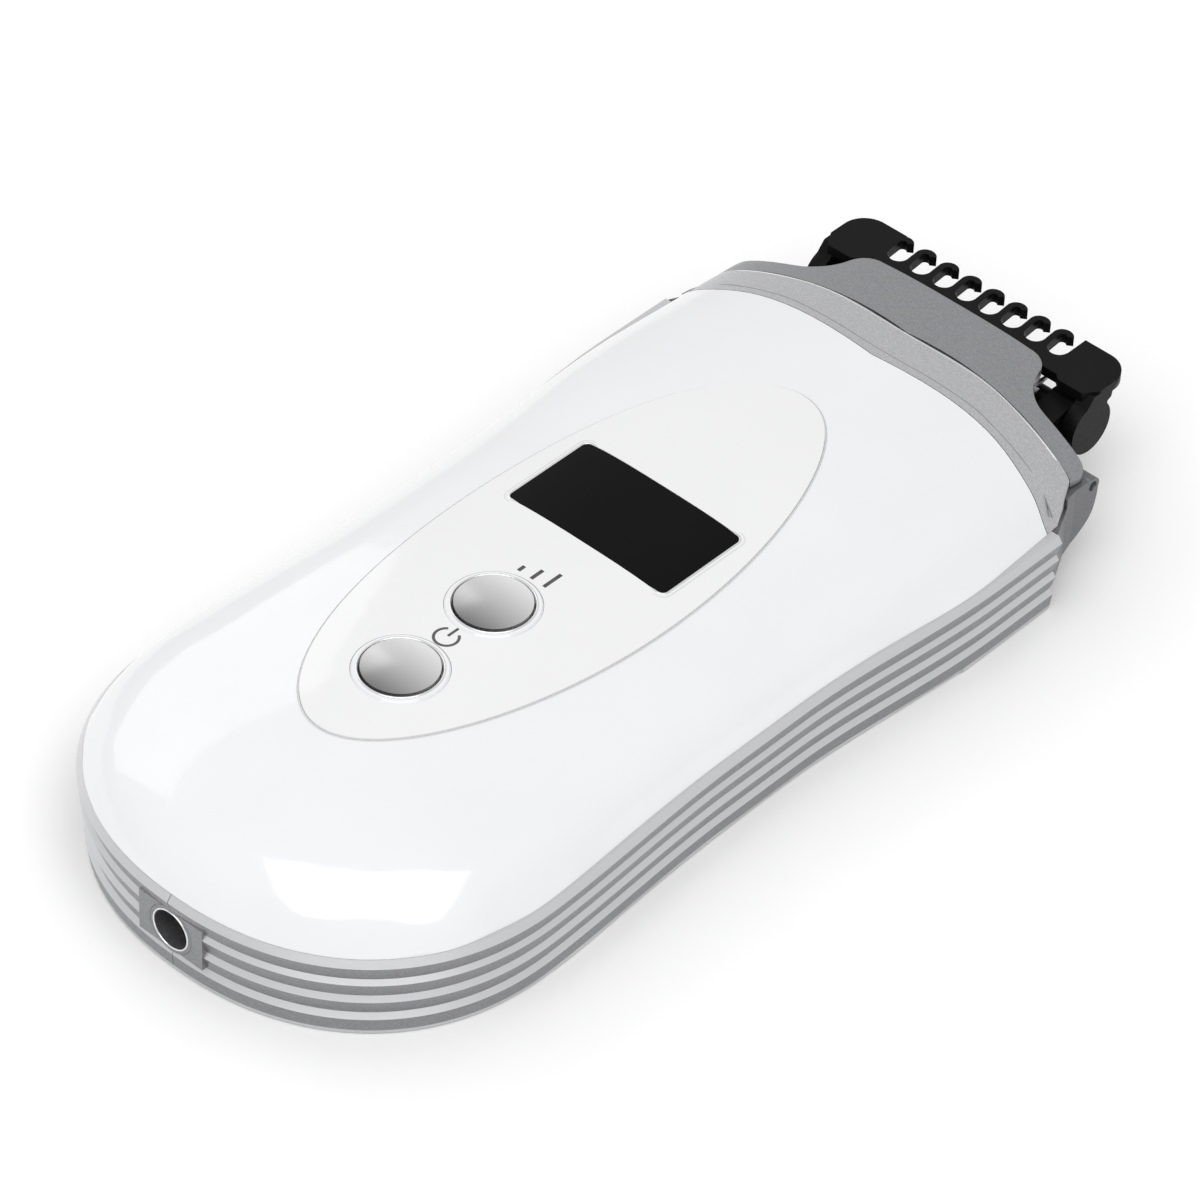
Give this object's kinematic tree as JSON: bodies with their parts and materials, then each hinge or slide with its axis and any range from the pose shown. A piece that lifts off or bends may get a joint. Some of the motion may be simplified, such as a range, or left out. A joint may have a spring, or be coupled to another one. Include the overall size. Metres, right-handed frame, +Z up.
{
  "type": "hair clipper",
  "caption": "Cordless hair clipper with a crowned white body, ribbed silver band, display window, two push buttons and a hooked tilting comb head.",
  "frame": {"origin": "middle of the bounding box's base, on the surface the clipper lies on", "axes": "+Y along the body towards the comb, +X to the right seen from above, +Z up out of the display"},
  "size_m": [0.0742, 0.1642, 0.0263],
  "materials": {
    "white_gloss": "high gloss",
    "band_silver": "satin metallic plastic",
    "collar_silver": "satin metallic plastic",
    "cap_silver": "satin metallic plastic",
    "base_grey": "satin",
    "black_plastic": "semi-matte",
    "display_black": "high gloss",
    "clear_ring": "clear",
    "button_silver": "polished",
    "inner_white": "matte",
    "inner_dark": "matte",
    "circuit_green": "satin",
    "chip_black": "matte",
    "cell_wrap": "satin",
    "nickel": "satin",
    "steel": "satin"
  },
  "bodies": {
    "housing": {"top_cover": "white_gloss", "control_fascia": "white_gloss", "head_collar": "collar_silver", "display_window": "display_black", "button_rings": "clear_ring", "tact_switches": "nickel", "main_board": "circuit_green", "display_frame": "inner_white", "display_module": "chip_black", "driver_chips": "chip_black", "battery_cells": "cell_wrap", "battery_tabs": "nickel", "charging_socket": "inner_dark", "socket_pin": "nickel", "left_band": "band_silver", "right_band": "band_silver", "bottom_cover": "base_grey", "case_screws": "steel", "head_cap": "cap_silver", "head_jaw": "cap_silver", "fixed_blade": "steel", "blade_holder": "inner_dark", "blade_screws": "steel", "motor": "steel", "lever_pin": "steel", "drive_frame": "inner_dark"},
    "level_button": {"level_button": "button_silver", "level_plunger": "inner_dark"},
    "power_button": {"power_button": "button_silver", "power_plunger": "inner_dark"},
    "rotor": {"motor_shaft": "steel", "cam": "inner_white"},
    "lever": {"drive_lever": "inner_white"},
    "blade": {"moving_blade": "steel", "blade_carrier": "inner_white"},
    "comb_mount": {"comb_carrier": "black_plastic", "comb_pivot": "black_plastic", "tilt_spring": "steel"},
    "comb": {"comb": "black_plastic"}
  },
  "joints": [
    {"name": "level_press", "type": "slide", "parent": "housing", "child": "level_button", "axis": [0, 0, -1], "range_m": [0, 0.0008], "stiffness_N_per_m": 600},
    {"name": "power_press", "type": "slide", "parent": "housing", "child": "power_button", "axis": [0, 0, -1], "range_m": [0, 0.0008], "stiffness_N_per_m": 600},
    {"name": "motor_spin", "type": "hinge", "parent": "housing", "child": "rotor", "pos_m": [0, 0.04, 0.0106], "axis": [0, 1, 0], "continuous": true},
    {"name": "lever_swing", "type": "hinge", "parent": "housing", "child": "lever", "pos_m": [0, 0.05, 0.0106], "axis": [0, 0, 1], "range_deg": [-4, 4]},
    {"name": "blade_stroke", "type": "slide", "parent": "housing", "child": "blade", "axis": [1, 0, 0], "range_m": [-0.00095, 0.00095]},
    {"name": "comb_release", "type": "slide", "parent": "housing", "child": "comb_mount", "axis": [0, 1, 0], "range_m": [0, 0.012]},
    {"name": "comb_tilt", "type": "hinge", "parent": "comb_mount", "child": "comb", "pos_m": [0, 0.0736, 0.0135], "axis": [1, 0, 0], "range_deg": [-5, 5], "stiffness_Nm_per_rad": 0.02}
  ],
  "couplings": [
    {"joint": "lever_swing", "follows": "blade_stroke", "rad_per_m": -71.43}
  ]
}
